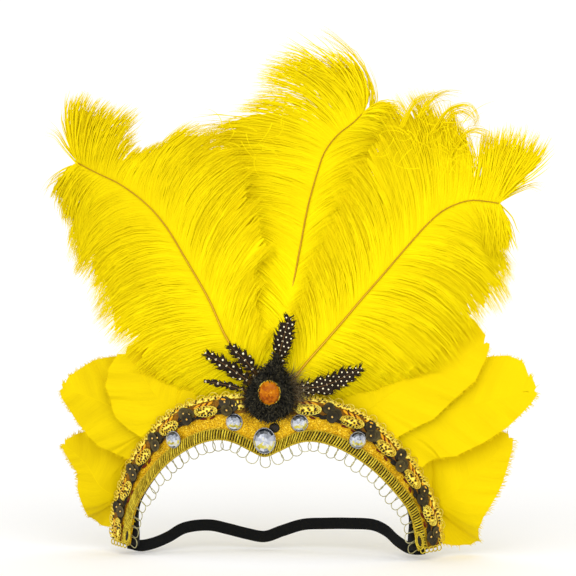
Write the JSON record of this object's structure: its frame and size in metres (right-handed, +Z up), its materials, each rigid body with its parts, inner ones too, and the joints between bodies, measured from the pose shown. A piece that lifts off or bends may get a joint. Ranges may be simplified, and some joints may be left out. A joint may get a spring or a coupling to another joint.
{
  "type": "feather headdress",
  "caption": "Crescent forehead band with braid, sequins and cut stones that carries a rosette, spotted feathers, tall ostrich plumes and broad side feathers, closed by an elastic strap.",
  "frame": {"origin": "the seat on the brow: the point of the lining's inner face behind the middle of the band", "axes": "+Z up as worn, +Y back towards the head, the trimmed front faces -Y"},
  "size_m": [0.3588, 0.1002, 0.3665],
  "materials": {
    "gold_cloth": "glitter cloth",
    "black_felt": "matte felt",
    "gold_thread": "metallic thread",
    "dark_sequin": "glossy",
    "clear_stone": "silver-backed, polished",
    "amber_stone": "polished",
    "yellow_feather": "soft",
    "spotted_feather": "soft",
    "black_elastic": "ribbed elastic"
  },
  "bodies": {
    "root": {"band": "gold_cloth", "band_lining": "black_felt", "lower_braid": "gold_thread", "loop_edging": "gold_thread", "sequin_trim_left": "gold_thread", "sequin_string_left": "dark_sequin", "sequin_trim_right": "gold_thread", "sequin_string_right": "dark_sequin", "stone_centre": "clear_stone", "stone_left_inner": "clear_stone", "stone_left_outer": "clear_stone", "stone_right_inner": "clear_stone", "stone_right_outer": "clear_stone", "rosette_pad": "black_felt", "amber_stone": "amber_stone", "guinea_left_1": "spotted_feather", "guinea_left_2": "spotted_feather", "guinea_left_3": "spotted_feather", "guinea_top": "spotted_feather", "guinea_right": "spotted_feather", "plume_left": "yellow_feather", "plume_centre": "yellow_feather", "plume_right": "yellow_feather", "side_feather_left_1": "yellow_feather", "side_feather_left_2": "yellow_feather", "side_feather_left_3": "yellow_feather", "side_feather_right_1": "yellow_feather", "side_feather_right_2": "yellow_feather", "side_feather_right_3": "yellow_feather", "strap": "black_elastic"}
  },
  "joints": []
}
